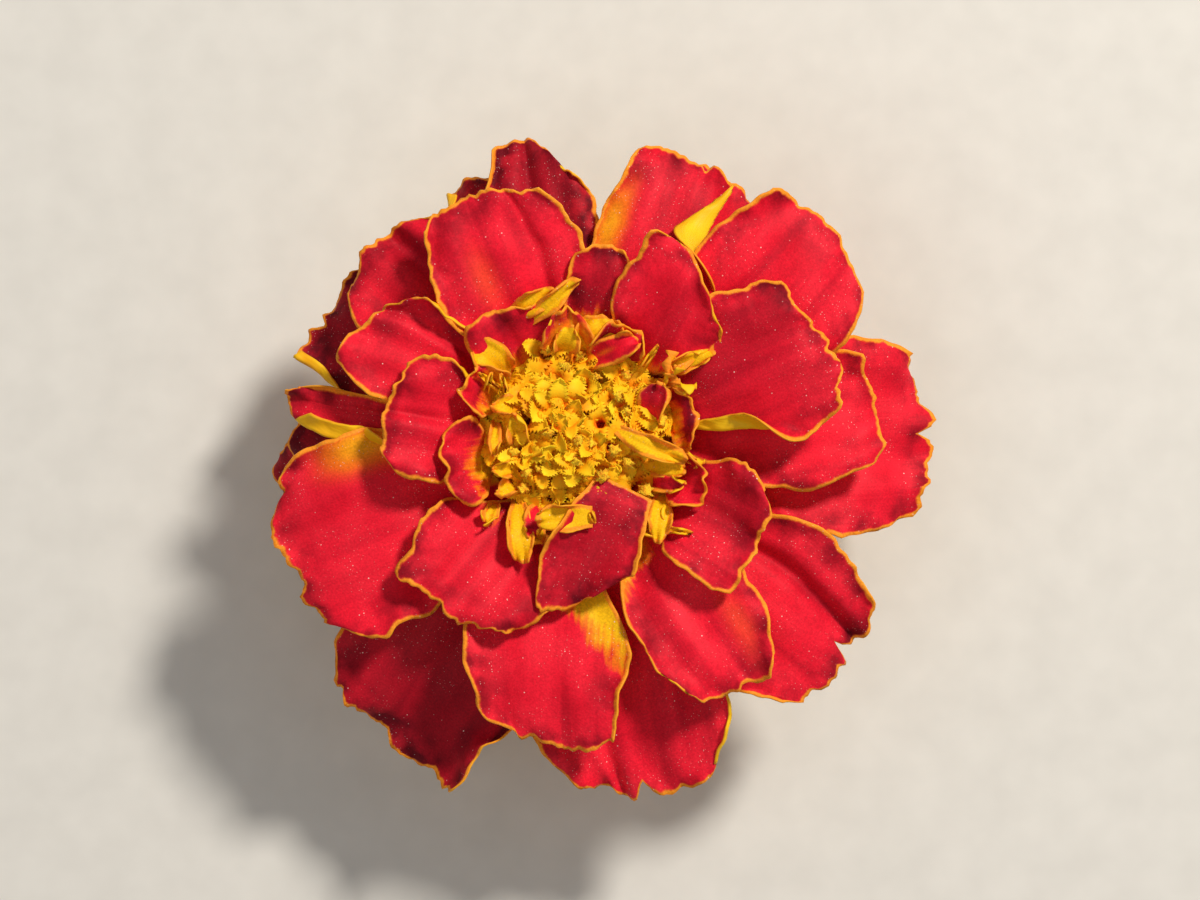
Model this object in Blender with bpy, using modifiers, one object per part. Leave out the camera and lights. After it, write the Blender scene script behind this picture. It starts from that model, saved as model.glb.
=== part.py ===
"""Head of a French marigold, picked just under its calyx and set down face up.

It stands on the tips of three of its lowest, bent-back ray florets, with the cut stalk just
clear of the surface. Lengths are in metres unless a name says mm, and +Z is up. The flower is
modelled round its own axis, and at the end everything is moved so that the origin lies on the
surface, under the middle of the whole head.
"""

import math
import random
from collections import namedtuple

import bmesh
import bpy
from mathutils import Matrix, Vector

MM = 0.001
GAP = 0.3 * MM  # between neighbouring pieces
SEED = 7
GOLDEN_ANGLE = math.pi * (3 - math.sqrt(5))
WELD = 0.0002 * MM  # points nearer than this are one

# Green cup of fused bracts, and the stub of the stalk under it.
CUT_END = 0.5 * MM  # height of the stalk's cut end
CALYX_BASE = 3.2 * MM
CALYX_RIM = 12.4 * MM
CALYX_RADIUS = 5.3 * MM
CALYX_WALL = 0.8 * MM
CALYX_BRACTS = 9
CALYX_SIDES = 36
TOOTH_HEIGHT = 1.3 * MM
RIB_HEIGHT = 0.22 * MM
STALK_RADIUS = 1.5 * MM
STALK_SWELL = 0.5 * MM  # just under the cup

# What stands in the cup: the tubes of the disc florets, with those of the rays round them.
TUBES_BASE = CALYX_BASE + 1.4 * MM
DISC_TUBES_RADIUS = 2.6 * MM
RAY_TUBES_RADIUS = 4.15 * MM
DISC_EDGE = 17.0 * MM  # height where the disc's dome starts
DISC_EDGE_RADIUS = 5.7 * MM
DISC_DOME = 1.7 * MM
RING_TOP = 17.2 * MM  # of the ring that carries the rays
RING_SIDES = 24

DISC_FLORETS = 40
FLORET_SIDES = 10  # two for each pointed lobe
FLORET_LENGTH = 2.7 * MM
FLORET_RADIUS = 0.84 * MM
FLORET_FOOT = 0.35  # of its radius
FLORET_SUNK = 0.8 * MM
FLORET_LEAN = 22  # degrees outwards at the disc's edge
LOBE_RISE = 0.35 * MM
LOBE_SPREAD = 1.18
LOBE_NOTCH = 0.78
THROAT_DEPTH = 0.55 * MM

# Blades of the ray florets.
BLADE_THICKNESS = 0.6 * MM
TOP_BLADE = (7, 6)  # grid along and across, for the rounds that are seen from above
UNDER_BLADE = (6, 4)
SMALL_BLADE = (5, 4)
SMALL_REACH = 12.5  # mm, up to which a blade takes the small grid
CLAW_WIDTH = 0.2  # of a ray's narrow foot, as a share of its width
WIDEST_AT = 0.6  # share of a ray's length
TIP_ROUNDING = 0.8  # 0 is square, 1 is elliptical
RIPPLE_HEIGHT = 0.7 * MM
MIDRIB_STEPS = 24
CROSS_STEPS = 10
FOLD_FROM = 0.5  # where a turned-up edge starts, as a share of the half width

# How the rays of a tier leave the ring: radius and height of the foot in mm, the angle above
# level there and at the tip in degrees, and how late the bend comes (1 is even, less is sooner).
Tier = namedtuple("Tier", "foot_radius foot_height start end lateness")
TIERS = {
    -1: Tier(4.3, 14.5, 4, -76, 0.6),
    0: Tier(4.6, 14.8, 12, -34, 1.0),
    1: Tier(4.9, 15.2, 27, -22, 1.0),
    2: Tier(5.3, 15.7, 42, -8, 1.0),
    3: Tier(5.9, 16.2, 56, 8, 1.0),
    4: Tier(6.6, 16.8, 72, 34, 1.0),
}

# One ray floret: the heading of its blade in degrees, how far its tip reaches from the axis and
# its width in mm, and its tier. Then how far it rolls to one side, its sides bend up and its left
# and right edges turn over, in degrees, and a notch in the tip (place across and depth in mm).
# Last, how much wider its right side is, how far the left of its tip is cut back and its tip is
# drawn to the left, both in mm. Left and right are those of someone who looks out along it.
Ray = namedtuple("Ray", "heading reach width tier roll cup left right notch wider slant bend",
                 defaults=(0, 10, 0, 0, (0, 0), 1, 0, 0))
RAYS = [
    # spread widest, under the others
    Ray(2, 26.6, 15.5, 0.2, notch=(0.0, 1.0)),
    Ray(27, 22.5, 12.0, -0.5),
    Ray(62.5, 23.2, 11.0, 0.2),
    Ray(100.5, 23.6, 9.0, 0.5, notch=(-0.3, 0.9), slant=-2.2),
    Ray(115.5, 22.0, 7.5, -0.1, left=70),
    Ray(152.5, 22.6, 10.8, 0.15, left=60, notch=(0.1, 1.2), slant=-0.5),
    Ray(182, 22.5, 7.5, -0.1),
    Ray(192, 24.2, 11.0, -0.6),
    Ray(215, 22.5, 12.0, -0.1),
    Ray(237, 27.4, 16.0, 0.4, left=50, slant=-0.8),
    Ray(260, 22.5, 12.0, -0.4),
    Ray(278.5, 27.6, 14.8, 0.5, left=50, notch=(-0.05, 1.6)),
    Ray(303, 21.5, 11.0, -0.3),
    Ray(319.5, 26.2, 13.2, 0.7, notch=(0.2, 1.7)),
    # the next round, above them
    Ray(41, 25.0, 10.2, 1.6, wider=1.42, bend=0.9),
    Ray(69.5, 23.5, 10.4, 1.0, right=95, slant=-0.7),
    Ray(135, 21.5, 12.0, 0.8),
    Ray(174, 22.9, 8.0, 1.0, cup=20, left=95, wider=0.4, bend=-1.5),
    Ray(6, 22.9, 10.0, 1.3),
    Ray(202.7, 24.0, 15.0, 1.2, wider=1.05),
    Ray(260.5, 23.0, 11.2, 1.4, left=40, notch=(-0.3, 0.7), wider=1.27, bend=0.9),
    Ray(302, 22.0, 10.4, 1.7, right=45, wider=0.88, slant=-0.3),
    Ray(151.5, 19.2, 8.8, 1.9, right=80, slant=-1.2),
    Ray(113.3, 20.7, 11.8, 1.9, slant=-0.6),
    Ray(23, 19.8, 12.5, 2.3, right=60, slant=-0.4),
    # raised round the disc
    Ray(230.5, 16.3, 11.4, 2.45, slant=1.0),
    Ray(170, 15.0, 9.5, 2.9, right=50),
    Ray(84, 15.1, 5.2, 2.5),
    Ray(329, 15.2, 10.0, 2.8, cup=24),
    Ray(57, 16.3, 8.2, 2.9, wider=1.2, slant=-1.3, bend=0.9),
    Ray(121, 12.2, 7.5, 3.2),
    Ray(264, 12.9, 7.2, 3.6, cup=34, slant=1.5),
    Ray(188, 10.8, 6.5, 3.7, cup=25),
    Ray(17, 9.2, 6.0, 3.9, cup=30),
    Ray(70, 9.7, 4.6, 4.0, cup=40),
    Ray(340, 10.0, 4.4, 3.8, cup=40),
    Ray(312, 9.4, 4.0, 3.9, cup=40),
    Ray(236, 10.0, 4.2, 3.9, cup=40),
    Ray(98, 10.6, 4.8, 3.8, cup=40),
    Ray(150, 10.2, 4.6, 3.8, cup=40),
]
# Bent back all the way: three carry the head, and three between them stay clear of the surface.
BENT_BACK = [Ray(40 + 120 * turn, 18.2, 10.5, -1) for turn in range(3)]
BENT_BACK += [Ray(100 + 120 * turn, 15.0, 10.0, -0.9, roll=4) for turn in range(3)]

COLOURS = {
    "ray_petals": ((0.56, 0.016, 0.022), 0.62),
    "disc_florets": ((0.82, 0.50, 0.02), 0.55),
    "involucre": ((0.13, 0.24, 0.05), 0.5),
    "stalk": ((0.20, 0.33, 0.09), 0.5),
}


def smooth_step(x):
    """Rises softly from 0 to 1 as x does."""
    x = min(max(x, 0.0), 1.0)
    return x * x * (3 - 2 * x)


def new_object(name, mesh, collection):
    data = bpy.data.meshes.new(name)
    mesh.to_mesh(data)
    mesh.free()
    obj = bpy.data.objects.new(name, data)
    collection.objects.link(obj)
    return obj


# ---- blades ----

def tier_profile(tier):
    """The Tier at any height between two rounds, mixed from both."""
    low = min(max(math.floor(tier), min(TIERS)), max(TIERS) - 1)
    share = tier - low
    return Tier(*(a + (b - a) * share for a, b in zip(TIERS[low], TIERS[low + 1])))


def midrib(ray):
    """Points (distance from the axis, height, angle) along a ray, and its length."""
    tier = tier_profile(ray.tier)
    angles = []
    for i in range(MIDRIB_STEPS + 1):
        share = (i / MIDRIB_STEPS) ** tier.lateness
        angles.append(math.radians(tier.start + (tier.end - tier.start) * share))
    middles = [(a + b) / 2 for a, b in zip(angles, angles[1:])]
    run = sum(math.cos(a) for a in middles) / MIDRIB_STEPS
    length = (ray.reach - tier.foot_radius) * MM / run
    step = length / MIDRIB_STEPS
    points = [(tier.foot_radius * MM, tier.foot_height * MM, angles[0])]
    for middle, angle in zip(middles, angles[1:]):
        radius, height, _ = points[-1]
        points.append((radius + step * math.cos(middle), height + step * math.sin(middle), angle))
    return points, length


def along_midrib(points, share):
    """Distance from the axis, height and angle at a share of the midrib's length."""
    at = min(max(share, 0.0), 1.0) * MIDRIB_STEPS
    low = min(int(at), MIDRIB_STEPS - 1)
    return [a + (b - a) * (at - low) for a, b in zip(points[low], points[low + 1])]


def ripple(ray, along, across):
    """Height of the soft waves of a blade's edge, between about -1 and 1."""
    phase = ray.reach * 2.3 + ray.tier * 5
    return (0.6 * math.sin(along * 9 + across * 3.1 + phase)
            + 0.4 * math.sin(across * 8.5 - along * 4 + 2 * phase))


def across_blade(ray, half_width, u, v):
    """Sideways place and rise of a point across the blade, whose slope grows to its edges."""
    fold = math.radians(ray.left if v > 0 else ray.right) * smooth_step((u - 0.25) * 2.5)
    cup = math.radians(ray.cup) * smooth_step(u * 2)
    sideways = rise = 0.0
    for i in range(CROSS_STEPS):
        across = abs(v) * (i + 0.5) / CROSS_STEPS
        slope = cup * across + fold * smooth_step((across - FOLD_FROM) / (1 - FOLD_FROM))
        sideways += half_width * v / CROSS_STEPS * math.cos(slope)
        rise += half_width * abs(v) / CROSS_STEPS * math.sin(slope)
    return sideways, rise


def blade_point(ray, points, length, u, v):
    """Place of a blade's point, u from foot to tip and v from -1 to 1 across."""
    beyond = max(0.0, (u - WIDEST_AT) / (1 - WIDEST_AT))
    spread = CLAW_WIDTH + (1 - CLAW_WIDTH) * smooth_step(u / WIDEST_AT)
    half_width = ray.width * MM / 2 * spread * math.sqrt(1 - TIP_ROUNDING * beyond ** 2 / 2)
    if v < 0:
        half_width *= 1 + (ray.wider - 1) * smooth_step(u * 2)
    share = u
    if beyond > 0:
        rounded = beyond * math.sqrt(1 - TIP_ROUNDING * v * v / 2)
        share = WIDEST_AT + (1 - WIDEST_AT) * rounded
    place, depth = ray.notch
    cut = max(0.0, 1 - abs(v - place) / 0.3) * beyond ** 2 * depth
    cut += ray.slant * v * beyond
    share -= cut * MM / length
    radius, height, angle = along_midrib(points, share)

    sideways, rise = across_blade(ray, half_width, u, v)
    rim = max(abs(v), beyond)
    rise += RIPPLE_HEIGHT * rim ** 3 * smooth_step(u * 1.5) * ripple(ray, u, v)
    roll = math.radians(ray.roll) * share
    sideways, rise = (sideways * math.cos(roll) - rise * math.sin(roll),
                      sideways * math.sin(roll) + rise * math.cos(roll))

    heading = math.radians(ray.heading)
    outward = Vector((math.cos(heading), math.sin(heading), 0))
    aside = Vector((-math.sin(heading), math.cos(heading), 0))
    up = Vector((0, 0, 1))
    normal = up * math.cos(angle) - outward * math.sin(angle)
    sideways += ray.bend * MM * u * u
    return outward * radius + up * height + aside * sideways + normal * rise


def add_blade(ray, collection):
    """A ray floret's blade as a closed sheet, its waves split alike on both faces."""
    points, length = midrib(ray)
    along, across = TOP_BLADE if ray.tier > 0 else UNDER_BLADE
    if ray.reach < SMALL_REACH:
        along, across = SMALL_BLADE
    mesh = bmesh.new()
    bmesh.ops.create_grid(mesh, x_segments=along, y_segments=across, size=1)
    for vert in mesh.verts:
        vert.co = blade_point(ray, points, length, (vert.co.x + 1) / 2, vert.co.y)
    bmesh.ops.triangulate(mesh, faces=mesh.faces[:])
    mesh.normal_update()
    for vert in mesh.verts:
        vert.co += vert.normal * BLADE_THICKNESS / 2
    bmesh.ops.solidify(mesh, geom=mesh.faces[:], thickness=BLADE_THICKNESS)
    bmesh.ops.recalc_face_normals(mesh, faces=mesh.faces[:])
    return new_object("blade", mesh, collection)


# ---- turned shapes and fusing ----

def add_turned(name, profile, sides, collection):
    """A closed outline (radius, height), listed down its outer side, turned round the axis."""
    mesh = bmesh.new()
    verts = [mesh.verts.new((radius, 0, height)) for radius, height in profile]
    for start, end in zip(verts, verts[1:]):
        mesh.edges.new((start, end))
    if profile[0][0] > 0:
        mesh.edges.new((verts[-1], verts[0]))
    obj = new_object(name, mesh, collection)
    screw = obj.modifiers.new("Turn", "SCREW")
    screw.steps = sides
    screw.render_steps = sides
    screw.use_merge_vertices = True
    screw.merge_threshold = WELD
    return obj


def evaluated_mesh(obj):
    """A bmesh of the object with its modifiers applied."""
    depsgraph = bpy.context.evaluated_depsgraph_get()
    mesh = bmesh.new()
    mesh.from_object(obj, depsgraph)
    return mesh


def largest_body(mesh):
    """Keeps the largest shell: loose scraps are dropped and sealed hollows are filled."""
    left = set(mesh.faces)
    shells = []
    while left:
        start = left.pop()
        shell, edge = {start}, [start]
        while edge:
            for side in edge.pop().edges:
                for face in side.link_faces:
                    if face in left:
                        left.discard(face)
                        shell.add(face)
                        edge.append(face)
        shells.append(shell)
    keep = max(shells, key=lambda shell: sum(face.calc_area() for face in shell))
    scraps = [face for face in mesh.faces if face not in keep]
    bmesh.ops.delete(mesh, geom=scraps, context="FACES")


def fuse(obj, repeats):
    """Joins a collection's objects to the one that they grow from, and removes them."""
    union = obj.modifiers.new("Union", "BOOLEAN")
    union.operation = "UNION"
    union.operand_type = "COLLECTION"
    union.collection = repeats
    union.solver = "MANIFOLD"
    mesh = evaluated_mesh(obj)
    obj.modifiers.clear()
    for repeat in list(repeats.objects):
        bpy.data.objects.remove(repeat)
    largest_body(mesh)
    bmesh.ops.triangulate(mesh, faces=mesh.faces[:])
    mesh.to_mesh(obj.data)
    mesh.free()


# ---- pieces ----

def add_ray_petals(collection, repeats):
    """All the ray florets, fused at their feet to the ring of their tubes."""
    inside = DISC_TUBES_RADIUS + GAP
    ring = [
        (DISC_EDGE_RADIUS + 1.3 * MM, RING_TOP),
        (6.3 * MM, 16.0 * MM),
        (5.2 * MM, 14.5 * MM),
        (RAY_TUBES_RADIUS, 13.2 * MM),
        (RAY_TUBES_RADIUS, 8.6 * MM),
        (inside + 0.3 * MM, TUBES_BASE + 0.9 * MM),
        (inside, TUBES_BASE + 0.9 * MM),
        (inside, 13.6 * MM),
        (4.0 * MM, 15.0 * MM),
        (DISC_EDGE_RADIUS + GAP, RING_TOP),
    ]
    petals = add_turned("ray_petals", ring, RING_SIDES, collection)
    for ray in RAYS + BENT_BACK:
        add_blade(ray, repeats)
    fuse(petals, repeats)
    return petals


def add_floret(place, direction, spin, size, collection):
    """One disc floret: a trumpet with five pointed lobes round a sunken throat."""
    mesh = bmesh.new()
    radius, length = FLORET_RADIUS * size, FLORET_LENGTH * size
    bmesh.ops.create_cone(mesh, cap_ends=True, segments=FLORET_SIDES,
                          radius1=radius * FLORET_FOOT, radius2=radius, depth=length,
                          matrix=Matrix.Translation((0, 0, length / 2)))
    mouth = max(mesh.faces, key=lambda face: face.calc_center_median().z)
    for i, vert in enumerate(mouth.verts):
        reach = LOBE_SPREAD if i % 2 else LOBE_NOTCH
        vert.co.x *= reach
        vert.co.y *= reach
        vert.co.z += LOBE_RISE * size if i % 2 else -LOBE_RISE * size
    bmesh.ops.inset_region(mesh, faces=[mouth], thickness=radius * 0.22)
    for vert in mouth.verts:
        vert.co.x *= 0.85
        vert.co.y *= 0.85
        vert.co.z = length - THROAT_DEPTH * size
    bmesh.ops.triangulate(mesh, faces=mesh.faces[:])
    turn = Vector((0, 0, 1)).rotation_difference(direction).to_matrix().to_4x4()
    bmesh.ops.transform(mesh, verts=mesh.verts[:],
                        matrix=Matrix.Translation(place) @ turn @ Matrix.Rotation(spin, 4, "Z"))
    return new_object("floret", mesh, collection)


def add_disc_florets(collection, repeats):
    """The disc: a dome over the bundle of tubes, covered with florets in a golden spiral."""
    core = [
        (0, DISC_EDGE + DISC_DOME),
        (DISC_EDGE_RADIUS * 0.5, DISC_EDGE + DISC_DOME * 0.8),
        (DISC_EDGE_RADIUS * 0.85, DISC_EDGE + DISC_DOME * 0.35),
        (DISC_EDGE_RADIUS, DISC_EDGE),
        (4.0 * MM - GAP, 15.0 * MM),
        (DISC_TUBES_RADIUS, 13.6 * MM),
        (DISC_TUBES_RADIUS, TUBES_BASE),
        (0, TUBES_BASE),
    ]
    disc = add_turned("disc_florets", core, RING_SIDES, collection)
    rng = random.Random(SEED)
    for i in range(DISC_FLORETS):
        out = math.sqrt((i + 0.5) / DISC_FLORETS)
        angle = i * GOLDEN_ANGLE
        radius = out * DISC_EDGE_RADIUS * 0.86
        lean = math.radians(FLORET_LEAN * out)
        direction = Vector((math.sin(lean) * math.cos(angle), math.sin(lean) * math.sin(angle),
                            math.cos(lean)))
        root = DISC_EDGE + DISC_DOME * (1 - out ** 2) - FLORET_SUNK
        place = Vector((radius * math.cos(angle), radius * math.sin(angle), root))
        size = rng.uniform(0.88, 1.08)
        add_floret(place, direction, rng.uniform(0, math.tau), size, repeats)
    fuse(disc, repeats)
    return disc


def add_involucre(collection):
    """The cup of fused bracts, ribbed outside, with a pointed tooth to each bract."""
    outer = [
        (CALYX_RADIUS, CALYX_RIM),
        (CALYX_RADIUS * 1.02, CALYX_RIM - 2.6 * MM),
        (CALYX_RADIUS * 0.97, CALYX_RIM - 5.0 * MM),
        (CALYX_RADIUS * 0.8, CALYX_BASE + 1.9 * MM),
        (CALYX_RADIUS * 0.52, CALYX_BASE + 0.5 * MM),
        (STALK_RADIUS * 0.9, CALYX_BASE),
        (0, CALYX_BASE),
    ]
    inner = [
        (0, TUBES_BASE - GAP),
        (DISC_TUBES_RADIUS * 1.2, TUBES_BASE - GAP),
        (CALYX_RADIUS - CALYX_WALL - 0.05 * MM, CALYX_RIM - 4.4 * MM),
        (CALYX_RADIUS - CALYX_WALL, CALYX_RIM),
    ]
    mesh = bmesh.new()
    verts = [mesh.verts.new((radius, 0, height)) for radius, height in outer + inner]
    for start, end in zip(verts, verts[1:] + verts[:1]):
        if start.co.x > 0 or end.co.x > 0:
            mesh.edges.new((start, end))
    bmesh.ops.spin(mesh, geom=mesh.verts[:] + mesh.edges[:], axis=(0, 0, 1), cent=(0, 0, 0),
                   angle=math.tau, steps=CALYX_SIDES, use_merge=True)
    bmesh.ops.remove_doubles(mesh, verts=mesh.verts[:], dist=WELD)
    bmesh.ops.recalc_face_normals(mesh, faces=mesh.faces[:])
    for vert in mesh.verts:
        shape_bract(vert)
    bmesh.ops.triangulate(mesh, faces=mesh.faces[:])
    return new_object("involucre", mesh, collection)


def shape_bract(vert):
    """Raises the teeth on the rim and the ribs down the outside."""
    turn = math.atan2(vert.co.y, vert.co.x) / math.tau * CALYX_BRACTS
    from_middle = abs(turn - round(turn)) * 2  # 0 on a bract's midrib, 1 where two meet
    if vert.co.z > CALYX_RIM - GAP:
        vert.co.z += TOOTH_HEIGHT * (1 - from_middle) - TOOTH_HEIGHT * 0.4 * from_middle
    if vert.co.xy.length > CALYX_RADIUS * 0.9:
        scale = 1 + RIB_HEIGHT / CALYX_RADIUS * (0.5 - from_middle)
        vert.co.x *= scale
        vert.co.y *= scale


def add_stalk(collection):
    """The stub of the stalk, swelling to the cup that it carries."""
    top = CALYX_BASE - GAP
    profile = [
        (0, top),
        (STALK_RADIUS + STALK_SWELL, top),
        (STALK_RADIUS + STALK_SWELL * 0.9, top - 0.5 * MM),
        (STALK_RADIUS, top - 1.5 * MM),
        (STALK_RADIUS * 0.97, CUT_END),
        (0, CUT_END),
    ]
    return add_turned("stalk", profile, RING_SIDES, collection)


def paint(obj):
    colour, roughness = COLOURS[obj.name]
    material = bpy.data.materials.new(obj.name)
    material.use_nodes = True
    surface = material.node_tree.nodes["Principled BSDF"]
    surface.inputs["Base Color"].default_value = (*colour, 1)
    surface.inputs["Roughness"].default_value = roughness
    surface.inputs["Metallic"].default_value = 0
    obj.data.materials.append(material)


def settle(pieces):
    """Moves everything so that the origin is under the middle of the head, on the surface."""
    bpy.context.view_layer.update()
    depsgraph = bpy.context.evaluated_depsgraph_get()
    corners = []
    for piece in pieces:
        corners += [Vector(corner) for corner in piece.evaluated_get(depsgraph).bound_box]
    low = [min(corner[axis] for corner in corners) for axis in range(3)]
    high = [max(corner[axis] for corner in corners) for axis in range(3)]
    shift = Vector((-(low[0] + high[0]) / 2, -(low[1] + high[1]) / 2, -low[2]))
    for piece in pieces:
        piece.location = shift


def new_collection(name):
    collection = bpy.data.collections.new(name)
    bpy.context.scene.collection.children.link(collection)
    return collection


def main():
    for obj in list(bpy.data.objects):
        bpy.data.objects.remove(obj)
    flower = new_collection("marigold_flower")
    repeats = new_collection("repeats")
    pieces = [
        add_ray_petals(flower, repeats),
        add_disc_florets(flower, repeats),
        add_involucre(flower),
        add_stalk(flower),
    ]
    for piece in pieces:
        paint(piece)
    settle(pieces)
    bpy.data.collections.remove(repeats)


main()
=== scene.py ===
# Head of a double French marigold, picked just under its calyx and set down face up.
# Lengths are in metres unless a name or a comment says mm.
import random
from math import atan2, cos, exp, hypot, pi, radians, sin, sqrt, tau

import bmesh
import bpy
from mathutils import Matrix, Vector, noise


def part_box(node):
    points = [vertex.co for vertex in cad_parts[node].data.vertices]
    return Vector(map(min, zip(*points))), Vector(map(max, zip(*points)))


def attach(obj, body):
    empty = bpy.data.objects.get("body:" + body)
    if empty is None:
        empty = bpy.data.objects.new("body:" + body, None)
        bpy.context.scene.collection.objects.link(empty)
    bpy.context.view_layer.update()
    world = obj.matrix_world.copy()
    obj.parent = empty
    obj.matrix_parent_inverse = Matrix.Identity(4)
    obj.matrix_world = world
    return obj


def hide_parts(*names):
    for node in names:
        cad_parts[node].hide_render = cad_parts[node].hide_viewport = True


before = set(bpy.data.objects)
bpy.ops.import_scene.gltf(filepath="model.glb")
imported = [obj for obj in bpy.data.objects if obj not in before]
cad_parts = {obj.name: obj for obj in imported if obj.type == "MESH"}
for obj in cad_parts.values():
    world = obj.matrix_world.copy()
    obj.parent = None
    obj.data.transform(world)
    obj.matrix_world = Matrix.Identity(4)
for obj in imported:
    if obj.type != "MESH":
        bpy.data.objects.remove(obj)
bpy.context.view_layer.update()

mm = 0.001
stalkLow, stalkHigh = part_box("stalk")
axisX = (stalkLow.x + stalkHigh.x) / 2   # the flower's own axis stands a little off the middle
axisY = (stalkLow.y + stalkHigh.y) / 2
cutEnd = 0.5 * mm                        # height of the stalk's cut end, on the flower's own scale
toFrame = Matrix.Translation((axisX, axisY, stalkLow.z - cutEnd))


def smoothStep(x):
    x = min(max(x, 0.0), 1.0)
    return x * x * (3 - 2 * x)


def mix(a, b, share):
    return a + (b - a) * share


def linear(hexColour):
    # sRGB hex to the linear values that a shader takes
    values = [int(hexColour[i:i + 2], 16) / 255 for i in (1, 3, 5)]
    values = [c / 12.92 if c <= 0.04045 else ((c + 0.055) / 1.055) ** 2.4 for c in values]
    return (*values, 1.0)


def addNode(tree, kind, inputs=None, stops=None, out=0, **settings):
    # inputs holds sockets to link or values to set, stops are (place, colour) on a ramp, and out is
    # the output that it gives back
    made = tree.nodes.new("ShaderNode" + kind)
    for name, value in settings.items():
        setattr(made, name, value)
    for name, value in (inputs or {}).items():
        if isinstance(value, bpy.types.NodeSocket):
            tree.links.new(value, made.inputs[name])
        else:
            made.inputs[name].default_value = value
    for i, (place, colour) in enumerate(stops or []):
        ramp = made.color_ramp.elements
        stop = ramp[i] if i < 2 else ramp.new(place)
        stop.position = place
        stop.color = linear(colour)
    return made.outputs[out]


def newMaterial(name, settings=None, layer=None):
    # settings are what is the same all over the surface. layer holds each point's place in the
    # patterns, and without one they follow the space
    material = bpy.data.materials.new(name)
    material.use_nodes = True
    tree = material.node_tree
    for socket, value in (settings or {}).items():
        tree.nodes["Principled BSDF"].inputs[socket].default_value = value
    if layer:
        return material, tree, addNode(tree, "Attribute", attribute_name=layer, out="Vector")
    return material, tree, addNode(tree, "TexCoord", out="Object")


def connect(tree, colour, normal=None, rough=None):
    for name, socket in (("Base Color", colour), ("Normal", normal), ("Roughness", rough)):
        if socket:
            tree.links.new(socket, tree.nodes["Principled BSDF"].inputs[name])


def finishSurface(tree, colour, height, relief, ends):
    # relief: strength and depth in mm, ends: (height, roughness) of the low and the high places
    strength, depth = relief
    (low, atLow), (high, atHigh) = ends
    bump = addNode(tree, "Bump", {"Height": height, "Strength": strength, "Distance": depth * mm})
    rough = addNode(tree, "MapRange", {0: height, 1: low, 2: high, 3: atLow, 4: atHigh})
    connect(tree, colour, bump, rough)


def stretchedNoise(tree, place, scale, detail):
    # veins or fibres: noise drawn out along a piece
    stretched = addNode(tree, "Mapping", {"Vector": place, "Scale": scale})
    return addNode(tree, "TexNoise", {"Vector": stretched, "Scale": 1, "Detail": detail})


def newMesh(numbers=(), vectors=()):
    # a bmesh with the layers that its materials read
    mesh = bmesh.new()
    for layer in vectors:
        mesh.verts.layers.float_vector.new(layer)
    for layer in numbers:
        mesh.verts.layers.float.new(layer)
    return mesh


def addObject(name, data):
    made = bpy.data.objects.new(name, data)
    bpy.context.scene.collection.objects.link(made)
    return made


def addMesh(name, mesh, materials):
    data = bpy.data.meshes.new(name)
    mesh.to_mesh(data)
    mesh.free()
    for material in materials:
        data.materials.append(material)
    return addObject(name, data)


def addPiece(name, mesh, materials, replaced, thickness=0):
    # puts a finished bmesh into the scene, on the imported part
    bmesh.ops.transform(mesh, matrix=toFrame, verts=mesh.verts[:])
    piece = addMesh(name, mesh, materials)
    piece.data.shade_smooth()
    if thickness:
        solidify = piece.modifiers.new("Thickness", "SOLIDIFY")
        solidify.thickness = thickness
        solidify.offset = 0
        solidify.material_offset = 1
        solidify.material_offset_rim = 2
    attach(piece, "root")
    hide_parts(replaced)
    print("made", name)


petal = {
    "thickness": 0.13 * mm,
    "gridLarge": (56, 50),     # along and across
    "gridSmall": (30, 22),
    "smallReach": 12.5,        # mm, up to which a ray gets the small grid
    "widestAt": 0.6,           # share of the length
    "ripple": 0.7 * mm,        # the soft waves of the edge, as in the solids
    "pleat": 0.16 * mm,        # the long shallow folds from foot to tip
    "dent": 0.3 * mm,          # hollows and swellings of the blade
    "dentLengths": (2.6, 4.2),        # mm, across and along
    "ruffle": 0.34 * mm,       # the crinkles along the edge
    "ruffleWidth": 2.6,        # mm from the edge
    "ruffleLengths": (1.7, 0.7),      # mm, of the long and the short ones
    "fullWidth": 12,           # mm, of a ray whose crinkles have their full size
    "sideSway": ((0.13, 5), (0.04, 17)),   # share of the half width, and how many to a length
    "foldLength": 0.4,         # share of the length over which a fold starts
    "unfoldLength": 0.25,
    "streakSize": (0.24, 0.2), # across and along
    "grooveShade": 0.45,        # how much darker a groove is painted: painted shade in its crease
    "scallop": 1.0,            # mm that the outline wanders in and out
    "scallopLengths": (2.5, 0.85),
    "crenation": 0.13,         # mm, the small round teeth of the outline
    "midribSteps": 24,
    "acrossSteps": 20,
}

# radius and height of the foot in mm, angle above level there and at the tip, lateness of the bend
tiers = {
    -1: (4.3, 14.5, 4, -76, 0.6),
    0: (4.6, 14.8, 12, -34, 1),
    1: (4.9, 15.2, 27, -22, 1),
    2: (5.3, 15.7, 42, -8, 1),
    3: (5.9, 16.2, 56, 8, 1),
    4: (6.6, 16.8, 72, 34, 1),
}


def fold(turn, across=0.5, width=0.5, start=0.2, end=2, taper=0):
    # an edge that turns over: by how many degrees, from where across and how fast, from and to
    # where along the blade, and how fast the fold line nears the edge towards the tip
    return {"turn": turn, "across": across, "width": width, "start": start, "end": end, "taper": taper}


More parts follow.
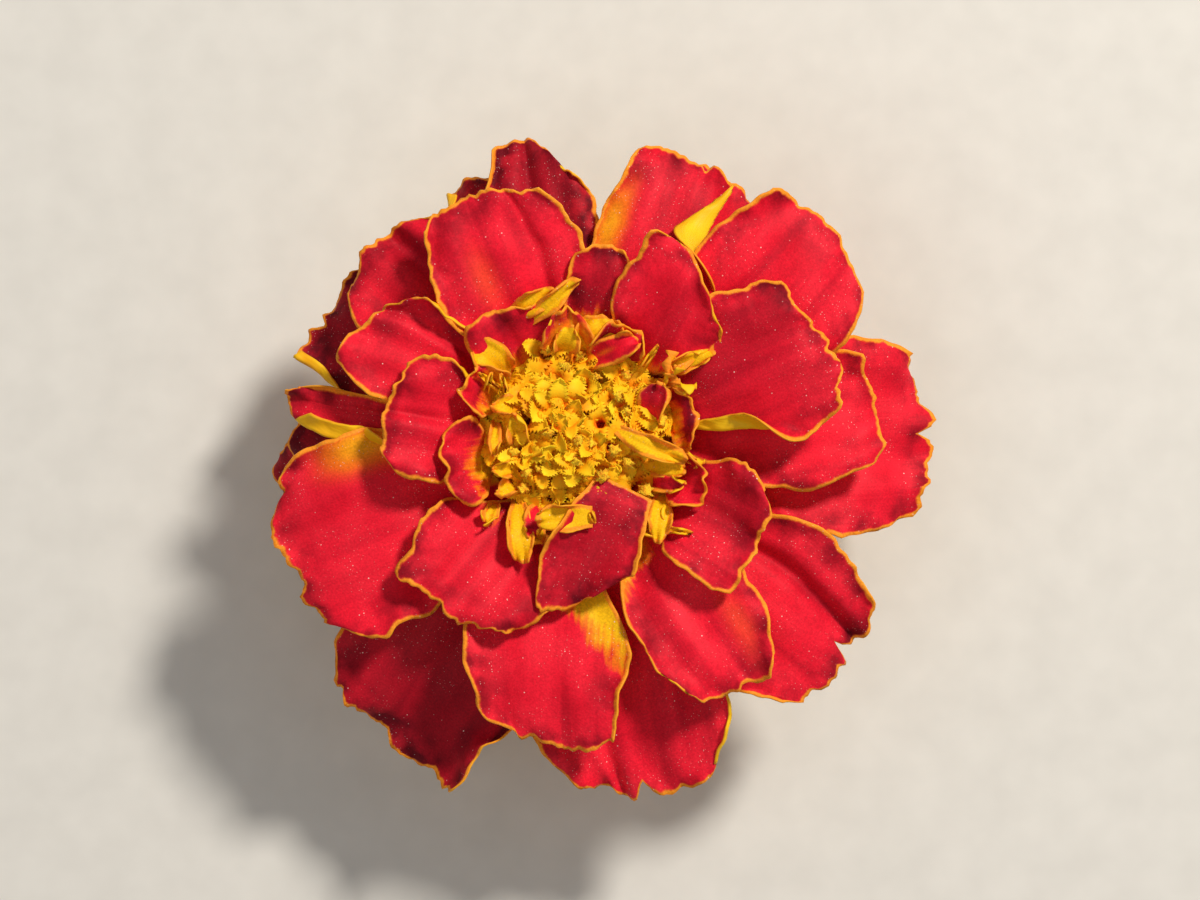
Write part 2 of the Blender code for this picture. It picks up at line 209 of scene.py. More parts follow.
def newBlade(**more):
    # left is the side to the left of someone who looks from foot to tip. cup: degrees by which the
    # sides bend up. claw: the foot's share of the width. wider: the right side's width as a share of
    # the left one's. bend: mm that the tip is drawn to the left. slant: mm that its left is cut back.
    # notch and groove: (across, mm deep, width). flush: how far the yellow of the foot runs up in mm,
    # more on the left with flushLeft. tone: 0 bright to 1 dark, mostly painted shade for rays that lie
    # in shadow and partly their own deeper red. streak: (across, along, strength) of an orange patch.
    # cupped: the rim goes round the foot too. rounding: of the tip, 0 square to 1.8 round.
    return {"roll": 0, "cup": 10, "left": fold(0), "right": fold(0), "claw": 0.2, "wider": 1, "bend": 0,
            "slant": 0, "notch": (0, 0, 0.2), "groove": (0, 0, 0.2), "flush": 3, "flushLeft": 0,
            "tone": 0.1, "streak": (0, 0.6, 0), "cupped": False, "rounding": 0.8, **more}


def ray(heading, reach, width, tier, **more):
    # heading in degrees, how far the tip reaches from the axis and the width in mm
    return newBlade(heading=heading, reach=reach, width=width, tier=tier, **more)


rays = {
    "raysSpread": [            # the widest round, under the others
        ray(2, 26.5, 15.3, 0.2, notch=(0, 0.9, 0.07), rounding=0.6),
        ray(27, 22.5, 12, -0.5),
        ray(62.5, 23.2, 11, 0.2, tone=0.3),
        ray(100.4, 24, 8, 0.5, wider=1.08, notch=(-0.75, 1.8, 0.55), slant=-0.9, tone=0.95,
            groove=(0.1, 0.5, 0.15), rounding=1.05),
        ray(114.2, 22, 7.5, -0.1, left=fold(150, 0.5, 0.2, 0.7), slant=-0.3, tone=0.85),
        ray(154, 22.6, 10.8, 0.15, left=fold(175, 0.78, 0.12, 0.55), notch=(0.1, 1.2, 0.15), slant=-0.5,
            tone=1.1),
        ray(182, 22.5, 7.5, -0.1, tone=1.2),
        ray(192, 24.2, 11, -0.6, tone=0.9),
        ray(215, 22.5, 12, -0.1, tone=0.6),
        ray(237, 27.4, 16, 0.4, left=fold(60, start=0.4), slant=-0.8, tone=0.75,
            groove=(0.15, 0.6, 0.4)),
        ray(260, 22.5, 12, -0.4, tone=0.5),
        ray(278.5, 27.6, 14.8, 0.5, bend=0.9, left=fold(130, 0.89, 0.11, 0.4), notch=(-0.05, 1.6, 0.12),
            groove=(-0.3, 0.8, 0.1), tone=-0.4),
        ray(303, 21.5, 11, -0.3, tone=0.5),
        ray(319.5, 26.2, 13.2, 0.7, notch=(0.2, 1.7, 0.13), groove=(0.42, 1.2, 0.12), tone=0.05),
    ],
    "raysMiddle": [            # the next round, above it
        ray(41, 24.7, 10.2, 1.6, wider=1.5, bend=1.2, tone=0.08, rounding=0.65),
        ray(69.5, 23.5, 10.4, 1, wider=1.2, right=fold(172, 0.39, 0.1, 0.4, taper=0.9), flush=4,
            flushLeft=4, tone=0.25, slant=-0.7, notch=(-0.3, 0.7, 0.1), streak=(0.8, 0.6, 0.75),
            rounding=1),
        ray(135, 22.1, 12, 0.8, groove=(-0.2, 0.9, 0.2), tone=0.25),
        ray(174, 22.9, 8, 1, wider=0.33, bend=-1.5, cup=20, left=fold(142, 0.52, 0.12, 0.3, taper=0.4),
            flush=4, tone=0.35, rounding=1.2),
        ray(7, 22.7, 10, 1.3, tone=0, rounding=0.6),
        ray(202.7, 24, 15, 1.2, wider=1.05, flush=3.5, flushLeft=-5, tone=-0.05,
            streak=(-0.85, 0.55, 0.8)),
        ray(260.5, 23, 10.5, 1.4, wider=1.36, bend=1.9, left=fold(40, 0.85, 0.15, 0.3),
            notch=(-0.3, 0.7, 0.12), flush=7.2, flushLeft=5.5, tone=0),
        ray(302, 22, 10.4, 1.7, wider=0.88, right=fold(70, 0.84, 0.16, 0.2), flush=4.5, flushLeft=-3,
            tone=0, streak=(0.55, 0.74, 0.22), slant=-0.3),
        ray(151.5, 19.2, 8.8, 1.9, right=fold(120, 0.78, 0.2, 0.2, 0.75), slant=-1.2,
            groove=(-0.5, 0.6, 0.12), notch=(-0.45, 0.5, 0.12)),
        ray(113.3, 20.7, 11.8, 1.9, groove=(-0.45, 0.35, 0.08), tone=0, streak=(0.32, 0.6, 0.22),
            slant=-0.6),
        ray(23, 19.8, 12.5, 2.3, wider=0.95, right=fold(165, 0.66, 0.14, -0.05, 0.5), tone=0.3,
            slant=0.4, rounding=0.6),
    ],
    "raysRaised": [            # standing up round the disc
        ray(230.5, 16.3, 11.4, 2.45, slant=1),
        ray(170, 15, 9.5, 2.9, right=fold(150, 0.8, 0.12, -0.1, 0.45), tone=0.15, groove=(0, 0.5, 0.1)),
        ray(84, 15.1, 5.2, 2.5, flush=5, tone=0.5),
        ray(331, 15.3, 9.4, 2.8, cup=24, groove=(0.05, 1, 0.22), tone=0.25, slant=0.7,
            rounding=0.5),
        ray(57, 16.3, 8.2, 2.9, wider=1.2, slant=-1.3, bend=0.9, tone=-0.25),
        ray(121, 12, 7.5, 3.2, groove=(0.1, 0.5, 0.15), tone=0.15, slant=-0.9),
        ray(188, 10.8, 6.5, 3.7, cup=25),
        ray(17, 8.9, 5.8, 3.9, cup=30, tone=0.35),
        ray(70, 9.7, 4.6, 4, flush=2, cup=55),
        ray(340, 10, 4.4, 3.8, cup=50, flush=2),
        ray(312, 9, 4, 3.9, flush=9, cup=60, rounding=1.4),
        ray(236, 9.2, 3.8, 3.8, flush=12, cup=50, rounding=1.6),
        ray(98, 10.4, 4.6, 3.8, flush=5, cup=50, rounding=1.4),
        ray(150, 10.2, 4.6, 3.8, flush=5, cup=60),
    ],
    # bent back all the way: the first three carry the head, and the others stay clear of the surface
    "raysBentBack": [ray(40 + 120 * turn, 18.2, 10.5, -1, tone=0.3) for turn in range(3)]
    + [ray(100 + 120 * turn, 15, 10, -0.9, roll=4, tone=0.3) for turn in range(3)],
}


def midrib(blade):
    # points (distance from the axis, height, angle) along a ray, and its length
    low = min(max(int(blade["tier"] // 1), -1), 3)
    share = blade["tier"] - low
    foot, height, start, end, late = (mix(a, b, share) for a, b in zip(tiers[low], tiers[low + 1]))
    steps = petal["midribSteps"]
    angles = [radians(mix(start, end, (i / steps) ** late)) for i in range(steps + 1)]
    middles = [(a + b) / 2 for a, b in zip(angles, angles[1:])]
    length = (blade["reach"] - foot) * mm / (sum(cos(a) for a in middles) / steps)
    points = [(foot * mm, height * mm, angles[0])]
    for middle, angle in zip(middles, angles[1:]):
        radius, height, _ = points[-1]
        points.append((radius + length / steps * cos(middle),
                       height + length / steps * sin(middle), angle))
    return points, length


def rayPath(blade):
    # a function that gives the middle, the left and the upper side of a ray at a share of its length
    points, length = midrib(blade)
    heading = radians(blade["heading"])
    outward = Vector((cos(heading), sin(heading), 0))
    left = Vector((-sin(heading), cos(heading), 0))
    up = Vector((0, 0, 1))

    def path(share):
        at = min(max(share, 0.0), 1.0) * (len(points) - 1)
        low = min(int(at), len(points) - 2)
        radius, height, angle = (mix(a, b, at - low) for a, b in zip(points[low], points[low + 1]))
        middle = outward * radius + up * height
        return middle, left, up * cos(angle) - outward * sin(angle)
    return path, length


def acrossBlade(blade, half, u, v):
    # sideways place and rise of a point across the blade, whose slope grows to its edges
    edge = blade["left"] if v > 0 else blade["right"]
    over = radians(edge["turn"]) * smoothStep((u - edge["start"]) / petal["foldLength"])
    over *= 1 - smoothStep((u - edge["end"]) / petal["unfoldLength"])
    cup = radians(blade["cup"]) * smoothStep(u * 2)
    line = edge["across"] + edge["taper"] * (u - petal["widestAt"])
    sideways = rise = 0.0
    steps = petal["acrossSteps"]
    for i in range(steps):
        across = abs(v) * (i + 0.5) / steps
        slope = cup * across + over * smoothStep((across - line) / edge["width"])
        sideways += half * v / steps * cos(slope)
        rise += half * abs(v) / steps * sin(slope)
    return sideways, rise


def wander(x, y, seed):
    return noise.noise(Vector((x, y, seed * 7.31)))


bladeLayers = ("rimDistance", "tone", "flush", "streak")


def outline(blade, length, u, v, seed):
    # how far a point lies beyond the widest place, the half width there and its share of the length.
    # u runs from foot to tip, v from the right edge to the left one
    widestAt = petal["widestAt"]
    beyond = max(0.0, (u - widestAt) / (1 - widestAt))
    spread = mix(blade["claw"], 1, smoothStep(u / widestAt))
    half = blade["width"] * mm / 2 * spread * sqrt(1 - blade["rounding"] * beyond ** 2 / 2)
    if v < 0:
        half *= mix(1, blade["wider"], smoothStep(u * 2))
    side = 1.5 if v > 0 else -1.5
    sway = sum(depth * wander(u * often, side, seed) for depth, often in petal["sideSway"])
    half *= 1 + sway * smoothStep(u * 2)
    share = u
    if beyond > 0:
        share = mix(widestAt, 1, beyond * sqrt(1 - blade["rounding"] * v * v / 2))
    notchAt, notchDepth, notchWidth = blade["notch"]
    cut = max(0.0, 1 - abs(v - notchAt) / notchWidth) * beyond ** 2 * notchDepth
    cut += blade["slant"] * v * beyond
    x = v * blade["width"] / 2
    size = blade["width"] / petal["fullWidth"]
    long, short = petal["scallopLengths"]
    cut += petal["scallop"] * size * beyond * (
        0.4 + wander(x / long, 9.1, seed) + 0.3 * wander(x / short, 3.7, seed))
    cut += petal["crenation"] * beyond ** 3 * sqrt(size) * 2 * wander(x * 1.9, 5.5, seed)
    return beyond, half, share - cut * mm / length


def addRelief(rise, blade, u, v, x, y, beyond, edge, wave, seed):
    # soft waves and crinkles along the edge, long pleats and shallow dents in between
    size = blade["width"] / petal["fullWidth"]
    outer = max(abs(v), beyond)
    ripple = 0.6 * sin(u * 9 + v * 3.1 + wave) + 0.4 * sin(v * 8.5 - u * 4 + 2 * wave)
    rise += petal["ripple"] * outer ** 3 * smoothStep(u * 1.5) * ripple
    crinkle = max(0.0, 1 - edge / petal["ruffleWidth"]) ** 2 * smoothStep(u * 2.2)
    long, short = petal["ruffleLengths"]
    rise += petal["ruffle"] * size * crinkle * (1.6 * wander(x / long, y / long, seed)
                                                + 0.7 * wander(x / short, y / short, seed + 1))
    rise += petal["pleat"] * size * smoothStep(u * 1.6) * (1 - outer ** 4) * cos(v * 9.5 + wave)
    across, along = petal["dentLengths"]
    return rise + petal["dent"] * smoothStep(u * 2) * wander(x / across, y / along, seed + 2)


def addBlade(mesh, blade, path, length, grid, wave, seed):
    # one blade: a grid bent along its path, with what the materials read stored on its points
    made = bmesh.ops.create_grid(mesh, x_segments=grid[0], y_segments=grid[1], size=1)["verts"]
    place = mesh.verts.layers.float_vector["bladePlace"]
    rim, tone, flush, streak = (mesh.verts.layers.float[layer] for layer in bladeLayers)
    grooveAt, grooveDepth, grooveWidth = blade["groove"]
    streakAt, streakAlong, strength = blade["streak"]
    streakWidth, streakLength = petal["streakSize"]
    for vert in made:
        u, v = (vert.co.x + 1) / 2, vert.co.y
        beyond, half, share = outline(blade, length, u, v, seed)
        sideways, rise = acrossBlade(blade, half, u, v)
        x, y = v * half / mm, share * length / mm
        edge = min((1 - abs(v)) * half, (1 - u) * length) / mm
        if blade["cupped"]:
            edge = min(edge, u * length / mm)
        rise = addRelief(rise, blade, u, v, x, y, beyond, edge, wave, seed)
        groove = exp(-((v - grooveAt) / grooveWidth) ** 2) * smoothStep((u - 0.15) * 2)
        rise -= groove * grooveDepth * mm
        roll = radians(blade["roll"]) * share
        sideways, rise = (sideways * cos(roll) - rise * sin(roll),
                          sideways * sin(roll) + rise * cos(roll))
        middle, left, normal = path(share)
        vert.co = middle + left * (sideways + blade["bend"] * mm * u * u) + normal * rise
        vert[place] = (x, y, seed * 3.7)     # each blade reads its own part of the patterns
        vert[rim] = edge
        # painted shade: the ray's tone darkens the whole blade where it lies in shadow, and its groove
        # gets more painted shade
        vert[tone] = blade["tone"] + petal["grooveShade"] * groove * min(1.0, grooveDepth)
        vert[flush] = blade["flush"] + blade["flushLeft"] * v
        vert[streak] = strength * exp(-((v - streakAt) / streakWidth) ** 2
                                      - ((u - streakAlong) / streakLength) ** 2)


def petalFrontMaterial():
    # ray floret, upper face: tiny domed cells make it velvet, red over yellow, bare yellow at the rim
    material, tree, place = newMaterial("velvetRedRay", {
        "Specular IOR Level": 0.1, "Sheen Weight": 0.03, "Sheen Roughness": 0.45,
        "Sheen Tint": linear("#FF8A80")}, "bladePlace")
    rim, tone, flush, streak = (addNode(tree, "Attribute", attribute_name=layer, out="Fac")
                                for layer in bladeLayers)
    broad = addNode(tree, "TexNoise", {"Vector": place, "Scale": 1 / 4, "Detail": 3})
    patch = addNode(tree, "ValToRGB", {"Fac": broad},
                    stops=[(0.3, "#E2142C"), (0.65, "#FA283C"), (0.45, "#F01C34")])
    # veins about 0.35 mm apart, and soft darker bands 2 or 3 mm apart that are painted shade of long
    # folds, both from foot to tip
    veins = stretchedNoise(tree, place, (1 / 0.35, 1 / 7, 1), 2)
    veinShade = addNode(tree, "MapRange", {0: veins, 1: 0.45, 2: 0.75, 4: 0.14})
    bands = stretchedNoise(tree, place, (1 / 1.8, 1 / 16, 1), 1)
    paintedFoldShade = addNode(tree, "MapRange", {0: bands, 1: 0.52, 2: 0.74, 4: 0.55})
    shade = addNode(tree, "Math", {0: veinShade, 1: paintedFoldShade}, operation="ADD", use_clamp=True)
    # maroon clouds, most of them inside the margin
    inner = addNode(tree, "MapRange", {0: rim, 1: 0.6, 2: 3.2, 3: 1, 4: 0.1})
    cloud = addNode(tree, "TexNoise", {"Vector": place, "Scale": 1 / 2.2, "Detail": 5})
    cloud = addNode(tree, "MapRange", {0: cloud, 1: 0.42, 2: 0.66, 4: 0.75})
    cloud = addNode(tree, "Math", {0: cloud, 1: inner}, operation="MULTIPLY")
    # painted shade: the ray's tone, added to the maroon clouds, mixes the red towards dark maroon
    darkest = addNode(tree, "Math", {0: tone, 1: 0.62, 2: cloud}, operation="MULTIPLY_ADD",
                      use_clamp=True)
    # yellow of the foot, running up between the veins
    along = addNode(tree, "SeparateXYZ", {0: place}, out="Y")
    reach = addNode(tree, "Math", {0: flush, 1: along}, operation="SUBTRACT")
    for part, weight in ((veins, 3), (cloud, -3), (broad, 6)):
        reach = addNode(tree, "Math", {0: part, 1: weight, 2: reach}, operation="MULTIPLY_ADD")
    foot = addNode(tree, "MapRange", {0: reach, 1: 3.4, 2: 6.2})
    foot = addNode(tree, "Math", {0: streak, 1: foot}, operation="MAXIMUM")
    yellow = addNode(tree, "ValToRGB", {"Fac": foot},
                     stops=[(0, "#EA2422"), (1, "#F6BE14"), (0.5, "#F0741A")])
    footMask = addNode(tree, "MapRange", {0: foot, 1: 0.05, 2: 0.4})
    # the rim itself, about 0.3 mm wide and wandering
    uneven = addNode(tree, "TexNoise", {"Vector": place, "Scale": 1 / 0.7, "Detail": 3})
    width = addNode(tree, "Math", {0: uneven, 1: -0.4, 2: rim}, operation="MULTIPLY_ADD")
    margin = addNode(tree, "ValToRGB", {"Fac": width}, stops=[(0, "#F8982A"), (0.16, "#EE4A20")])
    atRim = addNode(tree, "MapRange", {0: width, 2: 0.17, 3: 1, 4: 0})
    colour = patch
    for mask, over in ((shade, linear("#A00820")), (darkest, linear("#680818")), (footMask, yellow),
                       (atRim, margin)):
        colour = addNode(tree, "Mix", {0: mask, 6: colour, 7: over}, data_type="RGBA", out=2)
    # the velvet's own grain
    grain = addNode(tree, "TexNoise", {"Vector": place, "Scale": 1 / 0.16, "Detail": 3})
    grain = addNode(tree, "MapRange", {0: grain, 1: 0.35, 2: 0.65, 3: 0.86, 4: 1.12})
    colour = addNode(tree, "HueSaturation", {"Value": grain, "Color": colour})
    # grains of pollen and dust, which also serve as painted glints of the velvet: fine ones of 0.07 mm in
    # drifts, whose dense patches paint a pale sheen, and a few of 0.12 mm anywhere
    dustAndSheenDrift = addNode(tree, "MapRange", {0: broad, 1: 0.44, 2: 0.6, 3: 0.05})
    for spacing, size, rare, where in ((0.19, 0.035, 0.4, dustAndSheenDrift), (0.6, 0.06, 0.5, 1)):
        distance = addNode(tree, "TexVoronoi", {"Vector": place, "Scale": 1 / spacing})
        near = addNode(tree, "MapRange", {0: distance, 1: 0.5 * size / spacing,
                                          2: size / spacing, 3: 1, 4: 0})
        chance = addNode(tree, "SeparateXYZ", {0: distance.node.outputs["Color"]}, out="X")
        chosen = addNode(tree, "MapRange", {0: chance, 1: rare})
        dustAndGlint = addNode(tree, "Math", {0: near, 1: chosen}, operation="MULTIPLY")
        dustAndGlint = addNode(tree, "Math", {0: dustAndGlint, 1: where}, operation="MULTIPLY")
        colour = addNode(tree, "Mix", {0: dustAndGlint, 6: colour, 7: linear("#FFDCD2")},
                         data_type="RGBA", out=2)
    # papillae are 0.03 mm in life: drawn at 0.14 mm, so that they show
    cellsFine = addNode(tree, "TexVoronoi", {"Vector": place, "Scale": 1 / 0.14})
    fine = addNode(tree, "Bump", {"Height": cellsFine, "Strength": 0.2, "Distance": 0.04 * mm})
    ribs = addNode(tree, "Bump", {"Height": veins, "Strength": 0.3, "Distance": 0.1 * mm, "Normal": fine})
    rough = addNode(tree, "MapRange", {0: cloud, 3: 0.55, 4: 0.72})
    connect(tree, colour, ribs, rough)
    return material


def petalBackMaterial(name, stops):
    # ray floret, under face and cut edge: smooth waxy yellow, ribbed by its veins
    material, tree, place = newMaterial(name, {"Specular IOR Level": 0.2}, "bladePlace")
    veins = stretchedNoise(tree, place, (1 / 0.45, 1 / 6, 1), 3)
    broad = addNode(tree, "TexNoise", {"Vector": place, "Scale": 1 / 3, "Detail": 3})
    both = addNode(tree, "Math", {0: veins, 1: 0.45, 2: broad}, operation="MULTIPLY_ADD")
    colour = addNode(tree, "ValToRGB", {"Fac": both}, stops=stops)
    finishSurface(tree, colour, veins, (0.5, 0.15), ((0.3, 0.42), (0.7, 0.58)))
    return material


def addRays(materials):
    for number, (name, group) in enumerate(rays.items()):
        mesh = newMesh(bladeLayers, ["bladePlace"])
        for i, blade in enumerate(group):
            path, length = rayPath(blade)
            grid = petal["gridSmall"] if blade["reach"] < petal["smallReach"] else petal["gridLarge"]
            wave = blade["reach"] * 2.3 + blade["tier"] * 5    # so that no two wave alike
            addBlade(mesh, blade, path, length, grid, wave, number * 20 + i)
        addPiece(name, mesh, materials, "ray_petals", petal["thickness"])


velvet = petalFrontMaterial()
waxy = petalBackMaterial("waxyYellowUnderside",
                         [(0.35, "#E8960E"), (0.9, "#FCCC1A"), (0.6, "#F6B814")])
edgeYellow = petalBackMaterial("cutYellowRim", [(0.4, "#F2861A"), (0.85, "#FAAE26")])
petalMaterials = [velvet, waxy, edgeYellow]
addRays(petalMaterials)


crest = {
    "grid": (26, 16),
    "styleGrid": (14, 8),
    "wide": 5,                 # mm, from which a curl gets the grid of a large ray
    "footHeight": 17.4,        # mm
    "thickness": 0.11 * mm,
    "seed": 100,
    "styleSeed": 150,
}


def curl(foot, tip, width, height=20.2, arch=1.0, twist=0, **more):
    # a small blade beside the disc: foot and tip in mm from the axis, tip's height, how far it arches
    # up between them, and how far it has turned about its own line at the tip
    made = newBlade(foot=foot, tip=tip, width=width, height=height, arch=arch, twist=twist, cup=50,
                    flush=14, footHeight=crest["footHeight"], rounding=1.5)
    made.update(more)
    return made


curls = [
    # the dark one that leans over the disc, darkened along its middle with painted shade
    curl((3.1, -3.1), (-1.5, -12.6), 6.8, 20.3, 0.8, footHeight=20.2, cup=32, claw=0.68, cupped=True,
         flush=-3, tone=0.5, groove=(0, 1, 0.35), wider=1.06, slant=1.6, rounding=1.2),
    curl((-0.1, 6.1), (4.3, 7.8), 2.4, 20.9, 1, -15, cup=45, flush=1.6, claw=0.5, cupped=True, tone=-0.2,
         rounding=0.9, streak=(0.1, 0.45, 0.4)),
    curl((1.2, 6.6), (1.3, 9.7), 4, 19.9, 0.9, cup=25, claw=0.7, rounding=0.9),
    curl((-4.2, 9), (-0.2, 12), 1.6, 20.8, 0.8, 25, cup=40, claw=0.5, footHeight=19.4,
         rounding=1.1, bend=0.4),
    curl((-1.4, 6.6), (-1, 8.9), 2.2, 20.4, 0.8, 20),
    curl((-5.5, 5.1), (-8, 7.4), 3, 20.1, 1.2, 15, cup=40, claw=0.6, rounding=0.9,
         notch=(0, 0.3, 0.4)),
    curl((1.9, 1.6), (7, -2.2), 1.8, 20.9, 0.8, cup=35, claw=0.3, bend=1.1, rounding=0.9,
         footHeight=19.6),
    curl((4.8, 1.4), (5.9, 4.7), 2.9, 20.7, 0.8, -40, flush=0.5, rounding=1),
    curl((4.6, -1.5), (7.6, -1.8), 1.8, 20.2, 0.7, cup=60, flush=12, claw=0.6, rounding=0.8),
    curl((4.8, -2.7), (7.8, -2.9), 1.6, 20.1, 0.7, 20, flush=1, claw=0.6),
    curl((5.9, -3.5), (5.5, -7.3), 1.9, 20.2, 0.9, cup=35, claw=0.6, rounding=1.2),
    curl((0.7, -5.3), (-3.6, -5.4), 2.3, 21.2, 0.4, -20, cup=40, cupped=True, claw=0.7,
         rounding=1, footHeight=20.9),
    curl((-3.4, -4.2), (-3.8, -7), 1.9, 20.1, 1, 10, flush=0.5, tone=0.05),
    curl((-4.9, -3.8), (-4.4, -8.9), 2.2, 20.2, 1.1, cup=40, claw=0.4, rounding=1),
    curl((-4.2, 2.9), (-6.8, 2.8), 2, 20.3, 0.8, 20, flush=6),
    curl((-4.4, -0.2), (-5.1, 2.5), 2.1, 20.8, 0.8, -30, cup=70, flush=7, cupped=True),
    curl((-6.4, 2.3), (-6.6, -0.9), 1.1, 20.8, 0.5, cup=35, rounding=1.2),
    curl((-4.7, -1.8), (-6.8, -1.8), 1.6, 20.3, 0.8, flush=9),
    curl((-4.8, -2.7), (-6.3, -3.8), 1.7, 20.1, 0.8, 30, cup=60, flush=6),
    curl((5.6, 5.2), (9.6, 7.4), 1.7, 20.5, 1.1, 25, tone=0, bend=-0.4),
    curl((5.3, 4.9), (8.4, 4.1), 0.8, 20.8, 0.9, 60, cup=80),
    curl((8.2, 6.3), (6.3, 5), 0.7, 21, 0.9, 50, cup=80, footHeight=20.3),
    curl((5.6, 3.4), (6.6, 7), 0.9, 20.8, 0.9, 90, cup=90),
    curl((7.6, -0.6), (8.9, -1.6), 1.2, 19.8, 0.8, 60, cup=90, footHeight=18.6),
    curl((-6.4, -4.2), (-7.2, -6), 1.4, 19.6, 0.8, 30, cup=60, flush=5),
    curl((-5.4, 9.4), (-2.2, 11.5), 2, 20.3, 0.7, 10, cup=40, claw=0.6, footHeight=19.2,
         rounding=1.3),
]
# the rays' own styles, rolled into threads
styles = [curl(*place, cup=150, flush=20, claw=0.7) for place in (
    ((-6, 4), (-7.8, 5.4), 1.2, 20.8, 0.4),
    ((-7.2, 3.9), (-6.7, 5.4), 1.1, 20.9, 0.3),
    ((-5.6, 3.9), (-6.1, 5.3), 1.2, 20.9, 0.3),
    ((6, -6.2), (8.2, -6.5), 1.1, 20.4, 0.4),
    ((4.3, 5.6), (5.6, 7.4), 1.2, 21, 0.4),
    ((0.4, -4.4), (0.9, -5.8), 1.2, 21, 0.4),
)]
styles[3]["footHeight"] = 19.6   # this one lies lower, on a ray


def curlPath(blade):
    # a curve from the foot over a raised middle to the tip
    foot = Vector((*blade["foot"], blade["footHeight"])) * mm
    tip = Vector((*blade["tip"], blade["height"])) * mm
    crown = foot.lerp(tip, 0.35) + Vector((0, 0, 1)) * ((tip.z - foot.z) / 2 + blade["arch"] * mm)
    length = (crown - foot).length + (tip - crown).length

    def path(share):
        middle = foot.lerp(crown, share).lerp(crown.lerp(tip, share), share)
        forward = (crown - foot).lerp(tip - crown, share).normalized()
        left = Vector((0, 0, 1)).cross(forward).normalized()
        left.rotate(Matrix.Rotation(radians(blade["twist"]) * share, 3, forward))
        return middle, left, forward.cross(left)
    return path, length


def addCrest():
    mesh = newMesh(bladeLayers, ["bladePlace"])
    for blades, small, seed in ((curls, crest["grid"], crest["seed"]),
                                (styles, crest["styleGrid"], crest["styleSeed"])):
        for i, blade in enumerate(blades):
            path, length = curlPath(blade)
            grid = petal["gridLarge"] if blade["width"] > crest["wide"] else small
            addBlade(mesh, blade, path, length, grid, i * 1.7, seed + i)
    addPiece("crestCurls", mesh, petalMaterials, "ray_petals", crest["thickness"])


addCrest()


disc = {
    "seed": 11,
    "florets": 64,
    "middle": (-0.45 * mm, mm),  # of the disc, from the axis
    "edge": 17 * mm,            # height where the dome starts
    "dome": 1.7 * mm,
    "radius": 5.7 * mm,         # of the outermost floret's middle
    "tubeRadius": 0.3 * mm,
    "tubeLength": 2.1 * mm,
    "mouthRadius": 0.42 * mm,
    "tubeGrid": (5, 10),
    "lobes": 5,
    "lobeLength": 1.75 * mm,
    "lobeWidth": 1.3 * mm,
    "lobeGrid": (20, 4),
    "fringe": 0.2,              # share of the width by which the margin's hairs stand out
    "lean": 24,                 # degrees outwards at the edge
    "thickness": 0.07 * mm,
    "hollow": (0.2 * mm, 2.1 * mm, 1.2 * mm),    # middle and radius of the spot with closed buds
    "leaning": (2.2 * mm, -4.2 * mm, 1.4 * mm),  # the same, of the foot of the dark curl
    "buds": 11,
    "tuftShare": 0.55,
    "tuftRadius": 0.46 * mm,
    "tuftLift": 0.1 * mm,       # of its middle, over the mouth
    "sunk": 0.8,                # mm of the tubes that stand in the dome
    "core": [(0, 18.7), (1.5, 18.6), (2.9, 18.3), (4.1, 17.8), (4.9, 17.4), (5.5, 16.8), (3.6, 15),
             (2.5, 13.6), (2.5, 4.8), (0, 4.8)],   # the dome, down to the bundle of tubes in the calyx
    # how much the florets differ: angles in degrees, strays in radians, mm, degrees and share
    "strays": (0.16, 0.2, 9, 0.3),
    "sizes": (0.85, 1.1),
    "openings": (22, 4),        # of the lobes' tips above level, in the middle and at the edge
    "openingSpread": (-12, 22),
    "lobeLengths": (0.75, 1.2),
    "lobeWidths": (0.85, 1.2),
    "lobeTwists": (-0.4, 0.4),
    "tipTurns": (-30, 22),
    "lobeStarts": (62, 88),
    "tints": (-0.12, 0.1),
    "tuftSizes": (0.8, 1.2),
    "budHeights": (-0.1, 0.4),  # mm
    "budRadii": (0.34, 0.44),
}
goldenAngle = pi * (3 - sqrt(5))


def discHeight(radius):
    return disc["edge"] + disc["dome"] * (1 - (radius / disc["radius"]) ** 2)


def floretPlaces():
    # (place, direction, outness) in a golden spiral over the dome, slightly disturbed
    rng = random.Random(disc["seed"])
    turnStray, outStray, leanStray, sideStray = disc["strays"]
    places = []
    for i in range(disc["florets"]):
        out = sqrt((i + 0.5) / disc["florets"])
        angle = i * goldenAngle + rng.uniform(-turnStray, turnStray) / max(out, 0.3)
        radius = out * disc["radius"] + rng.uniform(-outStray, outStray) * mm
        lean = radians(disc["lean"] * out + rng.uniform(-leanStray, leanStray))
        direction = Vector((sin(lean) * cos(angle), sin(lean) * sin(angle), cos(lean)))
        aside = Vector((rng.uniform(-sideStray, sideStray), rng.uniform(-sideStray, sideStray), 0))
        direction = (direction + aside).normalized()
        place = Vector((radius * cos(angle), radius * sin(angle), discHeight(radius)))
        places.append((place + Vector((*disc["middle"], 0)), direction, out))
    return places


def turnTo(place, direction, spin):
    turn = Vector((0, 0, 1)).rotation_difference(direction).to_matrix().to_4x4()
    return Matrix.Translation(place) @ turn @ Matrix.Rotation(spin, 4, "Z")


